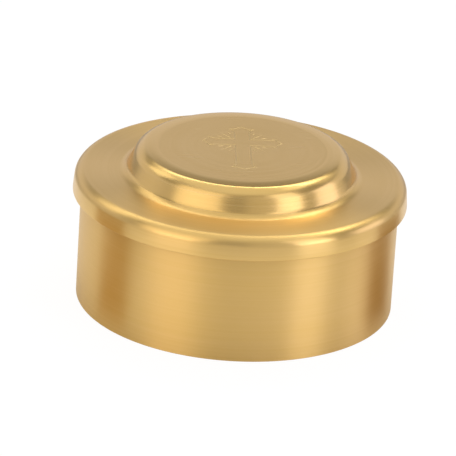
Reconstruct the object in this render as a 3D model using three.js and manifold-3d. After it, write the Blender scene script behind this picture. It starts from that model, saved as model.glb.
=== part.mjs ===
// A round host box of gold-plated brass sheet: a tube with a disc let into its foot, and a spun lift-off
// lid whose raised boss has a Latin cross engraved on it. Millimetres, +Z up, origin at the foot's centre.
import * as THREE from "three";
import { mergeVertices } from "three/addons/utils/BufferGeometryUtils.js";
import Module from "manifold-3d";

// The body
const wallRadius = 54.6;
const wallHeight = 44.35;
const wallSheet = 1.0;
const rimRounding = 0.35;
const baseSheet = 1.2;
const baseRecess = 0.6;

// The lid
const lidSheet = 1.0;
const skirtClearance = 1.85;
const skirtDepth = 7.9;
const skirtTilt = 85;
const shoulderRadius = 3.5;
const bossHeight = 9.3;
const bossFlatRadius = 30.2;
const easingRadius = 28.0;
const easingTilt = 7;
const crestRadius = 2.2;
const crestTilt = 26;
const bossEdgeRadius = 6.0;
const flankTilt = 66;
const footFilletRadius = 3.6;

// The ring under the lid that drops into the wall's mouth
const collarSheet = 0.8;
const collarDepth = 6.0;
const collarLeadIn = 0.3;

// Gaps between pieces
const solderGap = 0.3;
const seatGap = 0.3;
const slidingGap = 0.3;

// The engraved cross
const crossArmLength = 13.6;
const crossFootLength = 24.4;
const crossHalfWidth = 2.6;
const barbHalfWidth = 4.0;
const barbSetback = 2.0;
const barbRise = 1.3;
const flareLength = 3.4;
const pointHollow = 1.7;
const rayClearance = 1.0;
const rayLengths = [2.6, 6.0, 2.6];
const raySpread = 16;
const rayWidth = 0.55;
const lineWidth = 0.5;
const lineDepth = 0.22;

// Steps on round stretches
const turnSteps = 72;
const degreesPerStep = 15;
const rimDegreesPerStep = 30;
const curveSteps = 4;
const meetingDistance = 1e-4;

const wasm = await Module();
wasm.setup();

const radians = THREE.MathUtils.degToRad;

// Points on an arc about a centre, for a surface whose normal tilts by the given angles away from upright.
// A negative radius gives a hollow curve, with its centre above the surface.
function arc(centre, radius, fromTilt, toTilt, degrees = degreesPerStep) {
  const steps = Math.max(1, Math.round(Math.abs(toTilt - fromTilt) / degrees));
  const points = [];
  for (let i = 0; i <= steps; i++) {
    const tilt = radians(fromTilt + ((toTilt - fromTilt) * i) / steps);
    points.push(new THREE.Vector2(centre.x + radius * Math.sin(tilt), centre.y + radius * Math.cos(tilt)));
  }
  return points;
}

// A closed profile of (radius, height) points, turned about +Z. It runs down the outside of the section.
function turned(profile) {
  const points = profile.map((p) => new THREE.Vector2(p.x, p.y)).reverse();
  const geometry = new THREE.LatheGeometry(points, turnSteps);
  geometry.rotateX(Math.PI / 2);
  return geometry;
}

// A profile that comes back to its first point, for a ring.
function closed(profile) {
  return [...profile, profile[0]];
}

function solidOf(geometry) {
  const bare = geometry.clone();
  bare.deleteAttribute("normal");
  bare.deleteAttribute("uv");
  const merged = mergeVertices(bare, meetingDistance);
  return new wasm.Manifold(
    new wasm.Mesh({
      numProp: 3,
      vertProperties: new Float32Array(merged.attributes.position.array),
      triVerts: new Uint32Array(merged.index.array),
    }),
  );
}

function geometryOf(solid) {
  const mesh = solid.getMesh();
  const geometry = new THREE.BufferGeometry();
  geometry.setAttribute("position", new THREE.BufferAttribute(mesh.vertProperties, 3));
  geometry.setIndex(new THREE.BufferAttribute(mesh.triVerts, 1));
  geometry.computeVertexNormals();
  return geometry;
}

// Where the lid sits. Its inner shoulder comes down on the wall's rim, so its height follows the wall's.
const skirtEdgeRadius = wallRadius + skirtClearance + lidSheet;
const skirtFall = skirtDepth - shoulderRadius * (1 - Math.cos(radians(skirtTilt)));
const shoulderReach = shoulderRadius * Math.sin(radians(skirtTilt));
const shoulderCentreRadius = skirtEdgeRadius - skirtFall / Math.tan(radians(skirtTilt)) - shoulderReach;

// How far the lid's underside has curved down from the flat brim, at a radius on the brim or the shoulder.
function undersideDrop(radius) {
  const innerRadius = shoulderRadius - lidSheet;
  const reach = Math.max(0, radius - shoulderCentreRadius);
  return innerRadius - Math.sqrt(innerRadius ** 2 - reach ** 2);
}

const brimHeight = wallHeight + seatGap + undersideDrop(wallRadius) + lidSheet;
const bossTop = brimHeight + bossHeight;
const skirtEdge = brimHeight - skirtDepth;

// The centre of the arc that goes on from another arc at a tilt, with its own radius and without a kink.
function nextCentre(centre, radius, tilt, nextRadius) {
  const [centreOfNext] = arc(centre, radius - nextRadius, tilt, tilt);
  return centreOfNext;
}

// The lid's skin from the middle of the boss out to the skirt's edge, at a depth under its outer face.
function lidSkin(depth) {
  const easingCentre = new THREE.Vector2(bossFlatRadius, bossTop - easingRadius);
  const crestCentre = nextCentre(easingCentre, easingRadius, easingTilt, crestRadius);
  const edgeCentre = nextCentre(crestCentre, crestRadius, crestTilt, bossEdgeRadius);
  const [flankTop] = arc(edgeCentre, bossEdgeRadius, flankTilt, flankTilt);
  const filletDrop = footFilletRadius * (1 - Math.cos(radians(flankTilt)));
  const flankRun = (flankTop.y - brimHeight - filletDrop) / Math.tan(radians(flankTilt));
  const footCentre = new THREE.Vector2(
    flankTop.x + flankRun + footFilletRadius * Math.sin(radians(flankTilt)),
    brimHeight + footFilletRadius,
  );
  const shoulderCentre = new THREE.Vector2(shoulderCentreRadius, brimHeight - shoulderRadius);
  return [
    new THREE.Vector2(0, bossTop - depth),
    ...arc(easingCentre, easingRadius - depth, 0, easingTilt),
    ...arc(crestCentre, crestRadius - depth, easingTilt, crestTilt).slice(1),
    ...arc(edgeCentre, bossEdgeRadius - depth, crestTilt, flankTilt).slice(1),
    ...arc(footCentre, -footFilletRadius - depth, flankTilt, 0),
    ...arc(shoulderCentre, shoulderRadius - depth, 0, skirtTilt),
    new THREE.Vector2(skirtEdgeRadius - depth, skirtEdge),
  ];
}

// One end of the cross, from its left edge round its two barbs and its point to its right edge.
// It points along +Y, with the crossing at the origin.
function crossEnd(length) {
  const neck = new THREE.Vector2(-crossHalfWidth, length - barbSetback - flareLength);
  const barb = new THREE.Vector2(-barbHalfWidth, length - barbSetback);
  const tip = new THREE.Vector2(0, length);
  const flareBend = new THREE.Vector2(-crossHalfWidth, barb.y - barbRise);
  const pointBend = new THREE.Vector2(-barbHalfWidth / 2, length - pointHollow);
  const flare = new THREE.QuadraticBezierCurve(neck, flareBend, barb);
  const point = new THREE.QuadraticBezierCurve(barb, pointBend, tip);
  const half = [...flare.getPoints(curveSteps), ...point.getPoints(curveSteps).slice(1)];
  const mirrored = half.slice(0, -1).reverse();
  return [...half, ...mirrored.map((p) => new THREE.Vector2(-p.x, p.y))];
}

// The cross's outline, clockwise from its top end: each end is followed by the corner where two arms meet.
function crossOutline() {
  const lengths = [crossArmLength, crossArmLength, crossFootLength, crossArmLength];
  const origin = new THREE.Vector2();
  return lengths.flatMap((length, i) => {
    const corner = new THREE.Vector2(crossHalfWidth, crossHalfWidth);
    return [...crossEnd(length), corner].map((p) => p.rotateAround(origin, (-i * Math.PI) / 2));
  });
}

// A clockwise outline moved outwards by a distance, with mitred corners.
function offset(outline, distance) {
  return outline.map((p, i) => {
    const before = outline[(i + outline.length - 1) % outline.length];
    const after = outline[(i + 1) % outline.length];
    const a = p.clone().sub(before).normalize();
    const b = after.clone().sub(p).normalize();
    const mitre = new THREE.Vector2(-a.y - b.y, a.x + b.x);
    return p.clone().addScaledVector(mitre, distance / (1 + a.dot(b)));
  });
}

// Short strokes that fan out between the arms, each a long thin lozenge that starts clear of both arms.
function rayShapes() {
  const shapes = [];
  const diagonal = 45;
  for (let quarter = 0; quarter < 4; quarter++) {
    rayLengths.forEach((length, i) => {
      const turn = (i - 1) * raySpread;
      const start = (crossHalfWidth + rayClearance) / Math.sin(radians(diagonal - Math.abs(turn)));
      const angle = radians(diagonal + quarter * 90 + turn);
      const along = new THREE.Vector2(Math.cos(angle), Math.sin(angle));
      const across = new THREE.Vector2(-along.y, along.x);
      const place = (s, t) => along.clone().multiplyScalar(s).addScaledVector(across, t);
      shapes.push(
        new THREE.Shape([
          place(start, 0),
          place(start + length / 3, -rayWidth / 2),
          place(start + length, 0),
          place(start + length / 3, rayWidth / 2),
        ]),
      );
    });
  }
  return shapes;
}

// The cutter for the engraving. The cross is centred on the boss by its full height.
function engraving() {
  const outline = crossOutline();
  const band = new THREE.Shape(offset(outline, lineWidth / 2));
  band.holes.push(new THREE.Path(offset(outline, -lineWidth / 2).reverse()));
  const strokes = [band, ...rayShapes()].map((shape) => {
    const geometry = new THREE.ExtrudeGeometry(shape, { depth: 2 * lineDepth, bevelEnabled: false });
    geometry.translate(0, (crossFootLength - crossArmLength) / 2, bossTop - lineDepth);
    return solidOf(geometry);
  });
  return strokes.reduce((whole, stroke) => whole.add(stroke));
}

// A tube with a square foot and a rounded rim.
function bodyWall() {
  const inside = wallRadius - wallSheet;
  const innerCentre = new THREE.Vector2(inside + rimRounding, wallHeight - rimRounding);
  const outerCentre = new THREE.Vector2(wallRadius - rimRounding, wallHeight - rimRounding);
  return turned(
    closed([
      ...arc(innerCentre, rimRounding, -90, 0, rimDegreesPerStep),
      ...arc(outerCentre, rimRounding, 0, 90, rimDegreesPerStep),
      new THREE.Vector2(wallRadius, 0),
      new THREE.Vector2(inside, 0),
    ]),
  );
}

// A flat disc inside the wall, a little above the foot's edge, so that the box stands on its wall.
function basePlate() {
  const radius = wallRadius - wallSheet - solderGap;
  return turned([
    new THREE.Vector2(0, baseRecess + baseSheet),
    new THREE.Vector2(radius, baseRecess + baseSheet),
    new THREE.Vector2(radius, baseRecess),
    new THREE.Vector2(0, baseRecess),
  ]);
}

function lidShell() {
  const blank = solidOf(turned([...lidSkin(0), ...lidSkin(lidSheet).reverse()]));
  return geometryOf(blank.subtract(engraving()));
}

// A ring that hangs from the brim's underside, with its lower outer edge bevelled to lead it into the mouth.
function lidCollar() {
  const outside = wallRadius - wallSheet - slidingGap;
  const top = brimHeight - lidSheet - undersideDrop(outside) - solderGap;
  const bottom = top - collarDepth;
  return turned(
    closed([
      new THREE.Vector2(outside - collarSheet, top),
      new THREE.Vector2(outside, top),
      new THREE.Vector2(outside, bottom + collarLeadIn),
      new THREE.Vector2(outside - collarLeadIn, bottom),
      new THREE.Vector2(outside - collarSheet, bottom),
    ]),
  );
}

function named(name, geometry, material) {
  const mesh = new THREE.Mesh(geometry, material);
  mesh.name = name;
  return mesh;
}

const brushedGold = { color: 0xd3a562, roughness: 0.32, metalness: 1 };
const satinGold = { color: 0xc79a5a, roughness: 0.42, metalness: 1 };

const body = new THREE.Group();
body.add(named("body_wall", bodyWall(), new THREE.MeshStandardMaterial(brushedGold)));
body.add(named("base_plate", basePlate(), new THREE.MeshStandardMaterial(satinGold)));

const lid = new THREE.Group();
lid.add(named("lid_shell", lidShell(), new THREE.MeshStandardMaterial(brushedGold)));
lid.add(named("lid_collar", lidCollar(), new THREE.MeshStandardMaterial(satinGold)));

const box = new THREE.Group();
box.add(body, lid);

export default box;
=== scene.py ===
"""A round host box of gold-plated brass: a plain tube with a disc let into its foot, and a spun lift-off lid
whose raised boss has a Latin cross engraved on it. Metres, +Z up, origin at the foot's centre."""
import math

import bmesh
import bpy
import numpy as np
from mathutils import Matrix, Vector, geometry

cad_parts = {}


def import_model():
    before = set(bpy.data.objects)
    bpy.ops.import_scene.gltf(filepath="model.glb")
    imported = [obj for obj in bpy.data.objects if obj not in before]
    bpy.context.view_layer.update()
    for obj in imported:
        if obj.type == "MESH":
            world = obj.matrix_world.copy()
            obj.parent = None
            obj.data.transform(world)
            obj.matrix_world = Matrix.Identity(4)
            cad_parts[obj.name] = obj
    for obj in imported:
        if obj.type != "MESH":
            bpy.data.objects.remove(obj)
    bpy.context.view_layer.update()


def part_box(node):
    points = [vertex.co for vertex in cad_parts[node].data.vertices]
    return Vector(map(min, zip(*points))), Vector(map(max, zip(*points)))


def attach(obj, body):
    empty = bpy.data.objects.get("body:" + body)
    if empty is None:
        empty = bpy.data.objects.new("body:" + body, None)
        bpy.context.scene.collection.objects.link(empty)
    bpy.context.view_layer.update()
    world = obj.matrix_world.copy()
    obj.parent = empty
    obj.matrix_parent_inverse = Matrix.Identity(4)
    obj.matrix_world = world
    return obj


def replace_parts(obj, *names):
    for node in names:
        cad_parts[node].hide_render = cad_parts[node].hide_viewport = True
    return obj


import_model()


# The wall is a tube of 1 mm brass sheet, turned true, brushed round and gold-plated. Its foot is cut
# square and stands on the table. Its mouth is rounded, so that the lid's ring drops in freely.
mm = 0.001
wall_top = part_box("body_wall")[1]
wall_sheet = 1.0 * mm
rim_rounding = 0.35 * mm
foot_rounding = 0.12 * mm
turn_steps = 288
meeting_distance = 0.0001 * mm
sharp_bend = 35.0
fresh_golds = ((0.79, 0.525, 0.173), (0.84, 0.575, 0.218))
noise_span = (0.65, 1.35)
rub_dulling = 0.02


def arc(centre, radius, from_tilt, to_tilt, steps):
    """A round stretch: centre + radius (sin tilt, cos tilt), for a surface that faces away from upright by
    each tilt, in degrees. A negative radius gives a hollow curve."""
    tilt = np.radians(np.linspace(from_tilt, to_tilt, steps + 1))
    return np.asarray(centre) + radius * np.stack([np.sin(tilt), np.cos(tilt)], axis=1)


def line(start, end, steps):
    """A straight stretch: start + share (end - start), where share = (1 - cos t) / 2, so that its points
    crowd towards both ends and the rounds there keep their tight shading."""
    share = 0.5 - 0.5 * np.cos(np.linspace(0, np.pi, steps + 1))
    return np.asarray(start) + share[:, None] * (np.asarray(end) - np.asarray(start))


def turned(profile, closed=False):
    """The surface (r cos a, r sin a, z) of a profile of (r, z) points, as vertices on a grid of profile
    point and angle, and its faces. They look outwards where the profile runs down the section's outside.
    A profile point that repeats the one before it is left out."""
    gaps = np.linalg.norm(np.diff(profile, axis=0), axis=1)
    profile = profile[np.append(True, gaps > meeting_distance)]
    angle = np.linspace(0, 2 * np.pi, turn_steps, endpoint=False)
    radius, height = profile[:, :1], profile[:, 1:]
    grid = np.stack(np.broadcast_arrays(radius * np.cos(angle), radius * np.sin(angle), height), axis=-1)
    corner = np.arange(grid.shape[0] * turn_steps).reshape(grid.shape[:2])
    below = np.roll(corner, -1, axis=0)
    faces = np.stack([corner, below, np.roll(below, -1, axis=1), np.roll(corner, -1, axis=1)], axis=-1)
    faces = faces if closed else faces[:-1]
    return grid.reshape(-1, 3), faces.reshape(-1, 4).tolist()


def finished(name, vertices, faces, material, body, slot):
    """A mesh piece that rides on a body. Vertices that meet are merged, which closes seams and poles, and
    only edges that bend by more than the sharp bend, in degrees, stay sharp."""
    mesh = bpy.data.meshes.new(name)
    mesh.from_pydata(vertices.tolist(), [], faces)
    work = bmesh.new()
    work.from_mesh(mesh)
    bmesh.ops.remove_doubles(work, verts=work.verts, dist=meeting_distance)
    work.to_mesh(mesh)
    work.free()
    mesh.shade_smooth()
    mesh.set_sharp_from_angle(angle=math.radians(sharp_bend))
    mesh.materials.append(material)
    piece = bpy.data.objects.new(name, mesh)
    bpy.context.scene.collection.objects.link(piece)
    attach(piece, body)
    return piece


def node(tree, kind, inputs, **settings):
    """A shader node with its settings, and with a value or a link for each named or numbered input."""
    made = tree.nodes.new(kind)
    for name, value in settings.items():
        setattr(made, name, value)
    for name, value in inputs.items():
        if isinstance(value, bpy.types.NodeSocket):
            tree.links.new(value, made.inputs[name])
        else:
            made.inputs[name].default_value = value
    return made


def empty_group(name, inputs, outputs):
    """A shader node group with sockets of the given types, and its input and output nodes."""
    tree = bpy.data.node_groups.new(name, "ShaderNodeTree")
    for direction, sockets in (("INPUT", inputs), ("OUTPUT", outputs)):
        for socket, kind in sockets.items():
            tree.interface.new_socket(socket, in_out=direction, socket_type=kind)
    return tree, tree.nodes.new("NodeGroupInput").outputs, tree.nodes.new("NodeGroupOutput").inputs


def mixed_colour(tree, share, first, second):
    """The colour first + share (second - first). A Mix node has its colours at 6 and 7 and gives it at 2."""
    return node(tree, "ShaderNodeMix", {0: share, 6: first, 7: second}, data_type="RGBA").outputs[2]


def turning_marks():
    """The marks that a scouring pad leaves on metal that spins. Noise is read at (direction from the axis
    x wander, (height - radius) x lines), so that a mark runs far round and is hair-fine across."""
    tree, given, result = empty_group(
        "turning_marks",
        {"Position": "NodeSocketVector", "Lines": "NodeSocketFloat", "Wander": "NodeSocketFloat"},
        {"Height": "NodeSocketFloat", "Tone": "NodeSocketFloat"},
    )
    parts = node(tree, "ShaderNodeSeparateXYZ", {0: given["Position"]}).outputs
    level = node(tree, "ShaderNodeCombineXYZ", {"X": parts["X"], "Y": parts["Y"]}).outputs[0]
    radius = node(tree, "ShaderNodeVectorMath", {0: level}, operation="LENGTH").outputs["Value"]
    outward = node(tree, "ShaderNodeVectorMath", {0: level}, operation="NORMALIZE").outputs[0]
    around = node(
        tree, "ShaderNodeVectorMath", {0: outward, "Scale": given["Wander"]}, operation="SCALE"
    ).outputs[0]
    climb = node(tree, "ShaderNodeMath", {0: parts["Z"], 1: radius}, operation="SUBTRACT").outputs[0]
    across = node(tree, "ShaderNodeMath", {0: climb, 1: given["Lines"]}, operation="MULTIPLY").outputs[0]
    lift = node(tree, "ShaderNodeCombineXYZ", {"Z": across}).outputs[0]
    place = node(tree, "ShaderNodeVectorMath", {0: around, 1: lift}, operation="ADD").outputs[0]
    for output, scale, detail in (("Height", 1.0, 3.0), ("Tone", 0.3, 2.0)):
        layer = {"Vector": place, "Scale": scale, "Detail": detail, "Roughness": 0.6}
        noise = node(tree, "ShaderNodeTexNoise", layer)
        tree.links.new(noise.outputs["Fac"], result[output])
    return tree


def handling_haze():
    """What years of hands leave on plate: an uneven haze from soft noise, and a few short rubs from noise
    that is drawn out along one slanting direction."""
    tree, given, result = empty_group(
        "handling_haze",
        {"Position": "NodeSocketVector"},
        {"Haze": "NodeSocketFloat", "Rubs": "NodeSocketFloat"},
    )
    soft = {"Vector": given["Position"], "Scale": 34.0, "Detail": 4.0}
    tree.links.new(node(tree, "ShaderNodeTexNoise", soft).outputs["Fac"], result["Haze"])
    drawn_out = {"Vector": given["Position"], "Rotation": (0.4, 0.9, 0.6), "Scale": (60.0, 900.0, 900.0)}
    slant = node(tree, "ShaderNodeMapping", drawn_out).outputs[0]
    streaks = node(tree, "ShaderNodeTexNoise", {"Vector": slant, "Scale": 1.0, "Detail": 2.0}).outputs["Fac"]
    rare = {"Value": streaks, "From Min": 0.68, "From Max": 0.78}
    rubs = node(tree, "ShaderNodeMapRange", rare, interpolation_type="SMOOTHSTEP").outputs["Result"]
    tree.links.new(rubs, result["Rubs"])
    return tree


marks_group = turning_marks()
haze_group = handling_haze()


def gold_plate(name, shades, roughness, streaks, anisotropy, depth, lines=3500.0, wander=1.5):
    """Gold plate over worked brass. The marks and the haze shift it between two close shades and change its
    roughness by up to the streaks' amount, and the rubs dull it a little more. The marks, so many lines to
    the metre, roughen it by a depth in metres. The brushing runs round the axis, so it draws reflections
    out across itself."""
    material = bpy.data.materials.new(name)
    material.use_nodes = True
    tree = material.node_tree
    place = node(tree, "ShaderNodeTexCoord", {}).outputs["Object"]
    marks = node(
        tree, "ShaderNodeGroup", {"Position": place, "Lines": lines, "Wander": wander}, node_tree=marks_group
    ).outputs
    haze = node(tree, "ShaderNodeGroup", {"Position": place}, node_tree=haze_group).outputs
    both = node(tree, "ShaderNodeMath", {0: marks["Tone"], 1: haze["Haze"]}, operation="ADD").outputs[0]
    span = {"Value": both, "From Min": noise_span[0], "From Max": noise_span[1]}
    share = node(tree, "ShaderNodeMapRange", span).outputs[0]
    colour = mixed_colour(tree, share, (*shades[0], 1), (*shades[1], 1))
    limits = {"To Min": roughness - streaks, "To Max": roughness + streaks}
    rough = node(tree, "ShaderNodeMapRange", {**span, **limits}).outputs[0]
    rubbed = node(
        tree, "ShaderNodeMath", {0: haze["Rubs"], 1: rub_dulling, 2: rough}, operation="MULTIPLY_ADD"
    ).outputs[0]
    bump = node(tree, "ShaderNodeBump", {"Distance": depth, "Height": marks["Height"]}).outputs["Normal"]
    tangent = node(tree, "ShaderNodeTangent", {}, direction_type="RADIAL", axis="Z").outputs["Tangent"]
    shader = tree.nodes["Principled BSDF"].inputs
    shader["Metallic"].default_value = 1.0
    shader["Anisotropic"].default_value = anisotropy
    shader["Anisotropic Rotation"].default_value = 0.25
    for socket, value in (
        ("Base Color", colour),
        ("Roughness", rubbed),
        ("Normal", bump),
        ("Tangent", tangent),
    ):
        tree.links.new(value, shader[socket])
    return material


brushed_gold = gold_plate("brushed_gold", fresh_golds, 0.43, 0.04, 0.85, 0.0008 * mm)


def wall_profile():
    """The tube's section, clockwise from the inside of its mouth: a round rim, the outside, the foot with
    its two small breaks, and the inside."""
    outside = wall_top.x
    inside = outside - wall_sheet
    shoulder = wall_top.z - rim_rounding
    return np.concatenate([
        arc((inside + rim_rounding, shoulder), rim_rounding, -90, 0, 6),
        arc((outside - rim_rounding, shoulder), rim_rounding, 0, 90, 6),
        line((outside, shoulder), (outside, foot_rounding), 24),
        arc((outside - foot_rounding, foot_rounding), foot_rounding, 90, 180, 4),
        arc((inside + foot_rounding, foot_rounding), foot_rounding, 180, 270, 4),
        line((inside, foot_rounding), (inside, shoulder), 24)[:-1],
    ])


wall = finished("wall_tube", *turned(wall_profile(), closed=True), brushed_gold, "box", "brushed_gold")
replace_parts(wall, "body_wall")


# The base is a flat disc of 1.2 mm sheet, let into the tube just above its foot. Soft solder fills the
# gap round its edge, and stands as a small hollow fillet in the corner inside and in the recess below.
base_low, base_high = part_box("base_plate")
base_edge_break = 0.15 * mm
fillet_inside = 0.7 * mm
fillet_below = 0.3 * mm
dull_golds = ((0.75, 0.49, 0.19), (0.78, 0.53, 0.22))
solder_golds = ((0.73, 0.51, 0.24), (0.77, 0.56, 0.29))
satin_gold = gold_plate("satin_gold", dull_golds, 0.36, 0.03, 0.2, 0.006 * mm, lines=1500.0, wander=2.0)
plated_solder = gold_plate(
    "plated_solder", solder_golds, 0.33, 0.02, 0.0, 0.02 * mm, lines=500.0, wander=30.0
)


def base_profile():
    """Half the disc's section, from its middle out along the top, round the edge and back below."""
    edge = base_high.x
    return np.concatenate([
        line((0, base_high.z), (edge - base_edge_break, base_high.z), 24),
        [(edge, base_high.z - base_edge_break), (edge, base_low.z + base_edge_break)],
        line((edge - base_edge_break, base_low.z), (0, base_low.z), 24),
    ])


def base_solder_profile():
    """The solder's section, clockwise: the hollow fillet above the disc, the side on the tube, the hollow
    fillet below the disc, and the side on the disc's edge."""
    wall_side = wall_top.x - wall_sheet
    return np.concatenate([
        arc((wall_side - fillet_inside, base_high.z + fillet_inside), -fillet_inside, 0, -90, 8),
        arc((wall_side - fillet_below, base_low.z - fillet_below), -fillet_below, -90, -180, 6),
        [(base_high.x, base_low.z), (base_high.x, base_high.z)],
    ])


base = finished("foot_disc", *turned(base_profile()), satin_gold, "box", "satin_gold")
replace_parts(base, "base_plate")
finished("foot_solder", *turned(base_solder_profile(), closed=True), plated_solder, "box", "satin_gold")


# The lid is spun from one disc of 1 mm brass sheet over a former: a flat boss with a soft edge, a hollow
# foot where it meets the narrow brim, a round shoulder and a short skirt that slides down over the tube.
lid_low, lid_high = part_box("lid_shell")
lid_sheet = 1.0 * mm
skirt_depth = 7.9 * mm
skirt_tilt = 85.0
skirt_edge_rounding = 0.3 * mm
shoulder_radius = 3.5 * mm
boss_flat_radius = 28.9 * mm
easing_radius = 36.1 * mm
easing_tilt = 7.0
crest_radius = 3.2 * mm
crest_tilt = 26.0
boss_edge_radius = 6.0 * mm
flank_tilt = 66.0
foot_fillet_radius = 3.6 * mm
engraved_radius = 26.0 * mm
rubbed_radius = 34.4 * mm
brushed_radius = 39.4 * mm
brim_height = lid_low.z + skirt_depth
spun_gold = gold_plate("spun_gold", fresh_golds, 0.27, 0.0, 0.2, 0.0003 * mm)
rubbed_edge_gold = gold_plate("rubbed_edge_gold", fresh_golds, 0.2, 0.02, 0.2, 0.0005 * mm)
boss_side_gold = gold_plate("boss_side_gold", fresh_golds, 0.24, 0.04, 0.2, 0.0007 * mm)
lid_rim_gold = gold_plate("lid_rim_gold", fresh_golds, 0.31, 0.03, 0.85, 0.0008 * mm)


def leaning(tilt):
    """The direction (sin tilt, cos tilt) that a surface faces."""
    return np.array([math.sin(math.radians(tilt)), math.cos(math.radians(tilt))])


skirt_fall = skirt_depth - shoulder_radius * (1 - leaning(skirt_tilt)[1])
skirt_flare = skirt_fall * leaning(skirt_tilt)[1] / leaning(skirt_tilt)[0]
shoulder_centre = np.array([
    lid_high.x - skirt_flare - shoulder_radius * leaning(skirt_tilt)[0],
    brim_height - shoulder_radius,
])


def lid_skin(depth, first_radius):
    """The lid's skin at a depth under its outside, from a radius on the boss to the end of the shoulder:
    arcs that follow one another without a kink, with the flank's straight stretch and the brim between."""
    easing_centre = np.array([boss_flat_radius, lid_high.z - easing_radius])
    crest_centre = easing_centre + (easing_radius - crest_radius) * leaning(easing_tilt)
    edge_centre = crest_centre + (crest_radius - boss_edge_radius) * leaning(crest_tilt)
    flank_top = edge_centre + boss_edge_radius * leaning(flank_tilt)
    fillet_drop = foot_fillet_radius * (1 - math.cos(math.radians(flank_tilt)))
    flank_run = (flank_top[1] - brim_height - fillet_drop) / math.tan(math.radians(flank_tilt))
    foot_centre = np.array([
        flank_top[0] + flank_run + foot_fillet_radius * math.sin(math.radians(flank_tilt)),
        brim_height + foot_fillet_radius,
    ])
    top = lid_high.z - depth
    return np.concatenate([
        line((first_radius, top), (boss_flat_radius, top), 6),
        arc(easing_centre, easing_radius - depth, 0, easing_tilt, 10),
        arc(crest_centre, crest_radius - depth, easing_tilt, crest_tilt, 12),
        arc(edge_centre, boss_edge_radius - depth, crest_tilt, flank_tilt, 26),
        arc(foot_centre, -foot_fillet_radius - depth, flank_tilt, 0, 30),
        arc(shoulder_centre, shoulder_radius - depth, 0, skirt_tilt, 44),
    ])


def lid_profile():
    """The lid's section outside the engraved middle: the outer skin down to the skirt's rounded edge, and
    the inner skin back up to the middle."""
    across, up = leaning(skirt_tilt)
    low = lid_low.z + skirt_edge_rounding
    outside = lid_high.x - skirt_edge_rounding * (1 + up) / across
    inside = lid_high.x - (lid_sheet - skirt_edge_rounding * (1 - up)) / across
    outer = lid_skin(0, engraved_radius)
    inner = lid_skin(lid_sheet, 0)
    return np.concatenate([
        outer,
        arc((outside, low), skirt_edge_rounding, skirt_tilt, 180, 6),
        arc((inside, low), skirt_edge_rounding, 180, 180 + skirt_tilt, 6),
        inner[::-1],
    ])


# The cross is cut into the flat of the boss with a graver, as one line that runs all round it. Its arms
# flare to two barbs and a hollow-sided point, and short tapering strokes fan out between them.
arm_length = 13.6
foot_length = 24.4
half_width = 2.6
barb_half_width = 4.0
barb_setback = 2.0
barb_rise = 1.3
flare_length = 3.4
point_hollow = 1.7
ray_clearance = 1.0
ray_lengths = (2.6, 6.0, 2.6)
ray_spread = 16.0
ray_width = 0.55
ray_depth = 0.09
line_width = 0.5
line_depth = 0.1
line_floor_share = 0.3
net_tolerance = 1e-5
zone_margin = 0.01 * mm
# The grooves' darker gold is painted shade in the engraved lines, which dims what they reflect.
groove_shade_golds = ((0.63, 0.465, 0.2), (0.66, 0.49, 0.24))
engraved_gold = gold_plate(
    "engraved_gold", groove_shade_golds, 0.5, 0.02, 0.0, 0.002 * mm, lines=900.0, wander=8.0
)


def bend(a, b, c, steps=6):
    """A quadratic curve from a towards b to c: (1-t)^2 a + 2t(1-t) b + t^2 c."""
    t = np.linspace(0, 1, steps + 1)[:, None]
    return (1 - t) ** 2 * np.array(a) + 2 * t * (1 - t) * np.array(b) + t**2 * np.array(c)


def cross_end(length):
    """One end of the cross, pointing along +Y: its left edge flares out to a barb, a hollow curve runs up
    to the point, and the right edge is the left one mirrored."""
    barb = length - barb_setback
    neck = (-half_width, barb - flare_length)
    flare = bend(neck, (-half_width, barb - barb_rise), (-barb_half_width, barb))
    point = bend((-barb_half_width, barb), (-barb_half_width / 2, length - point_hollow), (0, length))
    left = np.concatenate([flare, point[1:]])
    return np.concatenate([left, left[-2::-1] * (-1, 1)])


def rotated(points, degrees):
    """Points turned anticlockwise about the origin."""
    sine, cosine = leaning(degrees)
    return points @ np.array([[cosine, sine], [-sine, cosine]])


def cross_outline():
    """The cross, clockwise from its top end, with the corner of two arms after each end."""
    corner = [[half_width, half_width]]
    lengths = (arm_length, arm_length, foot_length, arm_length)
    return np.concatenate([
        rotated(np.concatenate([cross_end(length), corner]), -90 * quarter)
        for quarter, length in enumerate(lengths)
    ])


def offset(outline, distance):
    """A clockwise outline moved outwards along its mitred corners: p + n d / (1 + a.b), where a and b are
    the directions of the two sides that meet at p and n is the sum of their normals."""
    a = outline - np.roll(outline, 1, axis=0)
    b = np.roll(outline, -1, axis=0) - outline
    a /= np.linalg.norm(a, axis=1, keepdims=True)
    b /= np.linalg.norm(b, axis=1, keepdims=True)
    mitre = np.stack([-a[:, 1] - b[:, 1], a[:, 0] + b[:, 0]], axis=1)
    return outline + mitre * distance / (1 + np.sum(a * b, axis=1, keepdims=True))


def ray(length, turn, quarter, steps=12):
    """A tapering stroke as (x, y, depth) rows for its left side, middle and right side. Its width and depth
    swell as sin(pi s^0.63) along its length s, which puts the widest place a third of the way out."""
    s = np.linspace(0, 1, steps + 1)
    swell = np.sin(np.pi * s**0.63)
    start = (half_width + ray_clearance) / math.sin(math.radians(45 - abs(turn)))
    rows = []
    for side in (1, 0, -1):
        flat = np.stack([start + s * length, side * swell * ray_width / 2], axis=1)
        depth = -ray_depth * swell * (side == 0)
        rows.append(np.column_stack([rotated(flat, 45 + 90 * quarter + turn), depth]))
    return rows


def chain(first, count, closed):
    """Pairs of following point numbers, for a chain of constrained edges."""
    numbers = np.arange(first, first + count)
    pairs = np.stack([numbers, np.roll(numbers, -1)], axis=1)
    return pairs if closed else pairs[:-1]


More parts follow.
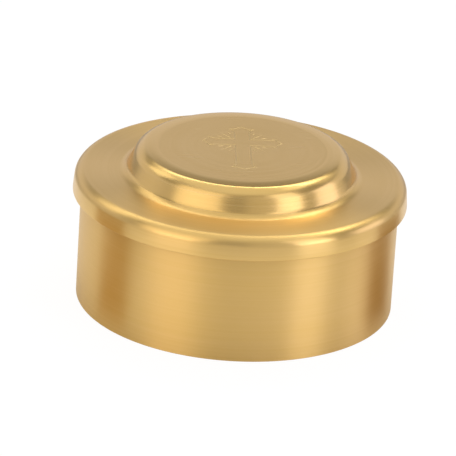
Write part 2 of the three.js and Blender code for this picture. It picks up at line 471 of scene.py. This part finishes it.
def engraved_middle(rim):
    """The flat of the boss inside a rim of (x, y) points in millimetres, as one net of triangles whose edges
    follow the engraved lines. Returns its (x, y, depth) points and its faces."""
    outline = cross_outline()
    rows = [(np.column_stack([rim, np.zeros(len(rim))]), True)]
    shift = np.array([0, (foot_length - arm_length) / 2, 0])
    for share, depth in ((1, 0), (line_floor_share, -line_depth), (-line_floor_share, -line_depth), (-1, 0)):
        edge = offset(outline, share * line_width / 2)
        rows.append((np.column_stack([edge, np.full(len(edge), depth)]) + shift, True))
    for quarter in range(4):
        for length, turn in zip(ray_lengths, (-ray_spread, 0, ray_spread)):
            rows += [(row + shift, False) for row in ray(length, turn, quarter)]
    points = np.concatenate([row for row, _ in rows])
    firsts = np.cumsum([0] + [len(row) for row, _ in rows])
    edges = np.concatenate([chain(first, len(row), closed) for first, (row, closed) in zip(firsts, rows)])
    flat = [Vector(p) for p in points[:, :2].tolist()]
    places, _, triangles, sources, _, _ = geometry.delaunay_2d_cdt(
        flat, edges.tolist(), [], 0, net_tolerance, True
    )
    depth = points[[source[0] for source in sources], 2]
    return np.column_stack([np.array(places), depth]), triangles


def lid():
    """The turned shell and the engraved middle as one mesh. The middle is shaded flat. Finish 0 is the flat
    disc's, 1 is for the faces that dip below it, and 2 to 4 start at their own radii, on the lid's outside
    and inside alike. A face counts by its lowest and its farthest corner."""
    shell, shell_faces = turned(lid_profile())
    rim = shell[:turn_steps, :2] / mm
    middle, middle_faces = engraved_middle(rim)
    vertices = np.concatenate([shell, middle * mm + (0, 0, lid_high.z)])
    faces = shell_faces + [[v + len(shell) for v in face] for face in middle_faces]
    piece = finished("lid_shell_spun", vertices, faces, spun_gold, "lid", "brushed_gold")
    for material in (engraved_gold, rubbed_edge_gold, boss_side_gold, lid_rim_gold):
        piece.data.materials.append(material)
    place = np.empty(3 * len(piece.data.vertices), dtype=np.float32)
    piece.data.vertices.foreach_get("co", place)
    corner = np.empty(len(piece.data.loops), dtype=np.int32)
    piece.data.loops.foreach_get("vertex_index", corner)
    first = np.empty(len(piece.data.polygons), dtype=np.int32)
    piece.data.polygons.foreach_get("loop_start", first)
    x, y, z = place.reshape(-1, 3)[corner].T
    low = np.minimum.reduceat(z, first)
    reach = np.maximum.reduceat(np.hypot(x, y), first)
    flat = (reach < engraved_radius + zone_margin) & (low > lid_high.z - lid_sheet / 2)
    cut = flat & (low < lid_high.z - zone_margin)
    rings = np.searchsorted((boss_flat_radius + zone_margin, rubbed_radius, brushed_radius), reach)
    slots = np.where(rings > 0, rings + 1, cut)
    piece.data.polygons.foreach_set("use_smooth", ~flat)
    piece.data.polygons.foreach_set("material_index", slots.astype(np.int32))
    return piece


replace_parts(lid(), "lid_shell")


# A ring of 0.8 mm sheet hangs from the underside of the brim and drops into the tube's mouth, which keeps
# the lid from shifting. Its lower edge is bevelled to lead it in, and solder holds it to the brim.
collar_low, collar_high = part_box("lid_collar")
collar_sheet = 0.8 * mm
collar_lead_in = 0.3 * mm
collar_edge_break = 0.1 * mm
collar_fillet = 0.8 * mm


def collar_profile():
    """The ring's section, clockwise from the inside of its top edge, with the lead-in bevel below."""
    outside, inside = collar_high.x, collar_high.x - collar_sheet
    return np.concatenate([
        line((inside, collar_high.z), (outside, collar_high.z), 2),
        line((outside, collar_high.z), (outside, collar_low.z + collar_lead_in), 8),
        [(outside - collar_lead_in, collar_low.z), (inside + collar_edge_break, collar_low.z)],
        line((inside, collar_low.z + collar_edge_break), (inside, collar_high.z), 8)[:-1],
    ])


def underside(radius):
    """The height of the lid's underside at a radius on the brim or the shoulder."""
    reach = np.maximum(0, radius - shoulder_centre[0])
    return shoulder_centre[1] + np.sqrt((shoulder_radius - lid_sheet) ** 2 - reach**2)


def collar_solder_profile():
    """The solder's section, clockwise: along the underside of the brim, down the outside, back over the
    ring's top edge, and round the hollow fillet inside the ring."""
    outside, inside = collar_high.x, collar_high.x - collar_sheet
    along = np.linspace(inside, outside, 6)
    brim = underside(inside)
    return np.concatenate([
        np.column_stack([along, underside(along)]),
        [(outside, collar_high.z), (inside, collar_high.z)],
        arc((inside - collar_fillet, brim - collar_fillet), collar_fillet, 90, 0, 8),
    ])


collar = finished("lid_ring", *turned(collar_profile(), closed=True), satin_gold, "lid", "satin_gold")
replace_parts(collar, "lid_collar")
finished("lid_solder", *turned(collar_solder_profile(), closed=True), plated_solder, "lid", "satin_gold")


# The floor is a wide matt white table top that keeps the box's shadow. The camera sees it near white, and
# from below it isn't there, so that the box's foot shows. What the metal sees of it is a painted glow: a
# painted pool of light in a ring round the box, painted shade close by, and fading away further out.
floor_reach = 5.0
floor_white = (0.82, 0.82, 0.82)
floor_seen_glow = 0.93
floor_seen_share = 0.14
mirrored_glow_share = 0.55
painted_shade_glow = 0.6
painted_pool_glow = 1.25
far_glow_share = 0.1
ring_from = 0.05
ring_full = 0.1
fade_from = 0.12
fade_to = 0.36


def empty_material(name):
    """A new material without its first shader, its node tree, and the socket that its surface goes to."""
    material = bpy.data.materials.new(name)
    material.use_nodes = True
    tree = material.node_tree
    tree.nodes.remove(tree.nodes["Principled BSDF"])
    return material, tree, tree.nodes["Material Output"].inputs["Surface"]


def looks_share(tree, path, mirrored_share):
    """How far a ray sees looks rather than light: wholly for the camera and through glass, and by a share
    for a reflection in metal."""
    eyes = node(
        tree, "ShaderNodeMath", {0: path["Is Camera Ray"], 1: path["Is Transmission Ray"]}, operation="ADD"
    ).outputs[0]
    return node(
        tree, "ShaderNodeMath", {0: path["Is Glossy Ray"], 1: mirrored_share, 2: eyes},
        operation="MULTIPLY_ADD", use_clamp=True,
    ).outputs[0]


def floor_material():
    """Matt white for the light that reaches the box. The camera sees an even glow. Glass and, in part, metal
    see a glow with painted light in a ring round the box and painted shade close by. Each glow has a share of
    the matt white's shadows on it. The back face is clear."""
    material, tree, surface = empty_material("white_table")
    path = node(tree, "ShaderNodeLightPath", {}).outputs
    matt = node(tree, "ShaderNodeBsdfDiffuse", {"Color": (*floor_white, 1)}).outputs[0]
    dimmed = tuple(floor_seen_share * value for value in floor_white)
    shadowed = node(tree, "ShaderNodeBsdfDiffuse", {"Color": (*dimmed, 1)}).outputs[0]
    place = node(tree, "ShaderNodeNewGeometry", {}).outputs["Position"]
    away = node(tree, "ShaderNodeVectorMath", {0: place}, operation="LENGTH").outputs["Value"]
    # Painted shade close to the box, and a painted pool of light in a ring round it that fades further out.
    near, far = (
        node(
            tree, "ShaderNodeMapRange",
            {"Value": away, "From Min": start, "From Max": end, "To Min": before, "To Max": after},
            interpolation_type="SMOOTHSTEP",
        ).outputs[0]
        for start, end, before, after in (
            (ring_from, ring_full, painted_shade_glow, painted_pool_glow),
            (fade_from, fade_to, 1.0, far_glow_share),
        )
    )
    painted_glow = node(tree, "ShaderNodeMath", {0: near, 1: far}, operation="MULTIPLY").outputs[0]
    strength = node(
        tree, "ShaderNodeMix", {0: path["Is Camera Ray"], 2: painted_glow, 3: floor_seen_glow}, data_type="FLOAT"
    ).outputs[0]
    glow = node(tree, "ShaderNodeEmission", {"Color": (1, 1, 1, 1), "Strength": strength}).outputs[0]
    seen = node(tree, "ShaderNodeAddShader", {0: shadowed, 1: glow}).outputs[0]
    looks = looks_share(tree, path, mirrored_glow_share)
    front = node(tree, "ShaderNodeMixShader", {0: looks, 1: matt, 2: seen}).outputs[0]
    clear = node(tree, "ShaderNodeBsdfTransparent", {}).outputs[0]
    back = node(tree, "ShaderNodeNewGeometry", {}).outputs["Backfacing"]
    whole = node(tree, "ShaderNodeMixShader", {0: back, 1: front, 2: clear}).outputs[0]
    tree.links.new(whole, surface)
    return material


def staged(name, corners, faces, material):
    """A mesh of a few flat faces that belongs to the studio and not to the box."""
    mesh = bpy.data.meshes.new(name)
    mesh.from_pydata(corners, [], faces)
    mesh.materials.append(material)
    holder = bpy.data.objects.new(name, mesh)
    bpy.context.scene.collection.objects.link(holder)
    return holder


floor_corners = [(x * floor_reach, y * floor_reach, 0) for x, y in ((-1, -1), (1, -1), (1, 1), (-1, 1))]
staged("table_top", floor_corners, [(0, 1, 2, 3)], floor_material())


# The studio is a pale room: cooler and lighter behind the box, dimmer and warmer in front, with a dark band
# high at the back and white overhead. Soft boxes stand round it, measured from the camera's side. Two glowing
# brown sheets by the box's sides, which only the metal sees, are painted shadows of the box on the floor, and
# darken what the metal sees there.
camera_turn = -3.0
glossy_white_share = 0.3
front_ends = -0.45
back_starts = 0.25
lamp_aim = Vector((0, 0, 0.03))
card_clearance = 0.2 * mm


def world():
    """Two ramps of colour over the sine of a direction's height, one in front and one behind, mixed by how
    far the direction turns to the back. The camera sees plain white, and metal a share of it."""
    room = bpy.data.worlds.new("pale_studio")
    room.use_nodes = True
    bpy.context.scene.world = room
    tree = room.node_tree
    tree.nodes.clear()
    direction = node(tree, "ShaderNodeTexCoord", {}).outputs["Generated"]
    parts = node(tree, "ShaderNodeSeparateXYZ", {0: direction}).outputs
    ramps = {
        "front": ((0.0, (0.19, 0.17, 0.15)), (0.7, (0.17, 0.15, 0.13)), (0.9, (0.8, 0.79, 0.77))),
        "back": (
            (0.0, (0.62, 0.6, 0.69)),
            (0.38, (0.62, 0.6, 0.69)),
            (0.5, (0.0, 0.0, 0.0)),
            (0.75, (0.0, 0.0, 0.0)),
            (0.85, (0.8, 0.79, 0.77)),
        ),
    }
    colours = []
    for stops in ramps.values():
        ramp = node(tree, "ShaderNodeValToRGB", {0: parts["Z"]})
        ramp.color_ramp.interpolation = "EASE"
        elements = ramp.color_ramp.elements
        while len(elements) < len(stops):
            elements.new(0.5)
        for element, (position, colour) in zip(elements, stops):
            element.position = position
            element.color = (*colour, 1)
        colours.append(ramp.outputs["Color"])
    turn = node(
        tree, "ShaderNodeMapRange", {"Value": parts["Y"], "From Min": front_ends, "From Max": back_starts},
        interpolation_type="SMOOTHSTEP",
    ).outputs[0]
    path = node(tree, "ShaderNodeLightPath", {}).outputs
    mixed = mixed_colour(tree, turn, *colours)
    lit = node(tree, "ShaderNodeBackground", {"Color": mixed}).outputs[0]
    white = node(tree, "ShaderNodeBackground", {"Color": (1, 1, 1, 1)}).outputs[0]
    looks = looks_share(tree, path, glossy_white_share)
    shown = node(tree, "ShaderNodeMixShader", {0: looks, 1: lit, 2: white}).outputs[0]
    output = node(tree, "ShaderNodeOutputWorld", {})
    tree.links.new(shown, output.inputs["Surface"])


def towards(azimuth, elevation):
    """The unit vector at an azimuth from the camera's side, positive to its right, and an elevation."""
    turn, rise = math.radians(azimuth + camera_turn), math.radians(elevation)
    return Vector((math.sin(turn) * math.cos(rise), -math.cos(turn) * math.cos(rise), math.sin(rise)))


def soft_box(name, azimuth, elevation, distance, width, height, radiance, colour=(1.0, 0.96, 0.9)):
    """A rectangular soft box that faces the box, from an azimuth and elevation in degrees and a distance in
    metres. A lamp of area A shows a radiance of power / (pi A)."""
    lamp = bpy.data.lights.new(name, "AREA")
    lamp.shape = "RECTANGLE"
    lamp.size = width
    lamp.size_y = height
    lamp.energy = radiance * math.pi * width * height
    lamp.color = colour
    holder = bpy.data.objects.new(name, lamp)
    holder.visible_camera = False
    back = towards(azimuth, elevation)
    facing = back.to_track_quat("Z", "Y").to_matrix().to_4x4()
    holder.matrix_world = Matrix.Translation(lamp_aim + back * distance) @ facing
    bpy.context.scene.collection.objects.link(holder)


world()
# Each soft box: name, azimuth, elevation, distance, width, height, radiance and, where not the usual, colour.
soft_box("soft_box_left_front", -44, 25, 0.9, 0.76, 0.8, 0.8, (1.0, 0.92, 0.84))
soft_box("soft_box_left_low", -42, 7, 0.85, 0.42, 0.26, 1.42, (1.0, 0.8, 0.72))
soft_box("soft_box_front", 21, 22, 0.9, 0.4, 0.7, 0.2)
soft_box("soft_box_right_front", 52, 26, 0.9, 0.4, 0.8, 1.06, (1.0, 0.97, 1.15))
soft_box("soft_box_right_low", 53, 7, 0.85, 0.36, 0.3, 1.85, (0.98, 0.98, 1.15))
soft_box("soft_box_right_side", 97, 8, 0.9, 0.44, 0.66, 0.86, (0.98, 0.94, 1.35))
soft_box("soft_box_right_high", 127, 44, 0.9, 0.4, 0.4, 0.42)
soft_box("soft_box_right_top", 106, 60, 0.9, 0.3, 0.22, 0.5)
soft_box("soft_box_left_side", -113, 40, 0.9, 0.38, 0.36, 1.15)
soft_box("soft_box_overhead", 174, 60, 1.1, 1.2, 0.2, 2.15)
soft_box("soft_box_back_right", 151, 49, 1.1, 0.48, 0.38, 1.2)
soft_box("soft_box_back_left", -149, 45, 1.1, 0.5, 0.28, 0.76)


def painted_shadow_sheet(name, near, far, height, glow):
    """A folded sheet that only metal reflects, glowing a dark colour: a painted shadow of the box on the
    floor, with the gold light bounced into it. It lies on the floor from two near to two far (azimuth,
    distance) corners, and stands up from there."""
    material, tree, surface = empty_material(name)
    tree.links.new(node(tree, "ShaderNodeEmission", {"Color": (*glow, 1)}).outputs[0], surface)
    off_floor = Vector((0, 0, card_clearance))
    places = [towards(azimuth, 0) * distance + off_floor for azimuth, distance in (*near, *far)]
    places += [place + Vector((0, 0, height)) for place in places[2:]]
    card = staged(name, places, [(0, 1, 3, 2), (2, 3, 5, 4)], material)
    card.visible_camera = card.visible_diffuse = card.visible_shadow = False


# Painted shadows of the box on the floor at its two sides, brown with the gold light bounced into them.
painted_shadow_sheet("painted_shadow_left", ((-48, 0.066), (-67, 0.064)), ((-61, 0.1), (-82, 0.091)), 0.033, (0.54, 0.38, 0.18))
painted_shadow_sheet("painted_shadow_right", ((63, 0.065), (84, 0.062)), ((81, 0.094), (105, 0.086)), 0.029, (0.37, 0.235, 0.09))


# The camera stands where the photograph was taken: far off, a little above the box, a little round to the
# left, and turned about its own axis, so that the box's right side sits lower.
camera_distance = 1.6
camera_elevation = 23.45
camera_roll = 3.62
camera_target = Vector((0, 0, 0.01143))
aim_right = -0.00338
aim_up = 0.0127
sensor_width = 36.0
focal_length = 365.7


def camera():
    """Looks at a point beside the target, and is then turned about its own axis."""
    data = bpy.data.cameras.new("camera")
    data.sensor_width = sensor_width
    data.lens = focal_length
    data.clip_start = 0.01
    data.clip_end = 50.0
    holder = bpy.data.objects.new("camera", data)
    place = camera_target + towards(0, camera_elevation) * camera_distance
    turn = towards(0, camera_elevation).to_track_quat("Z", "Y").to_matrix()
    aim = camera_target + turn.col[0] * aim_right + turn.col[1] * aim_up
    look = (place - aim).to_track_quat("Z", "Y").to_matrix().to_4x4()
    roll = Matrix.Rotation(math.radians(camera_roll), 4, "Z")
    holder.matrix_world = Matrix.Translation(place) @ look @ roll
    bpy.context.scene.collection.objects.link(holder)
    bpy.context.scene.camera = holder


camera()
bpy.context.scene.view_settings.view_transform = "Standard"
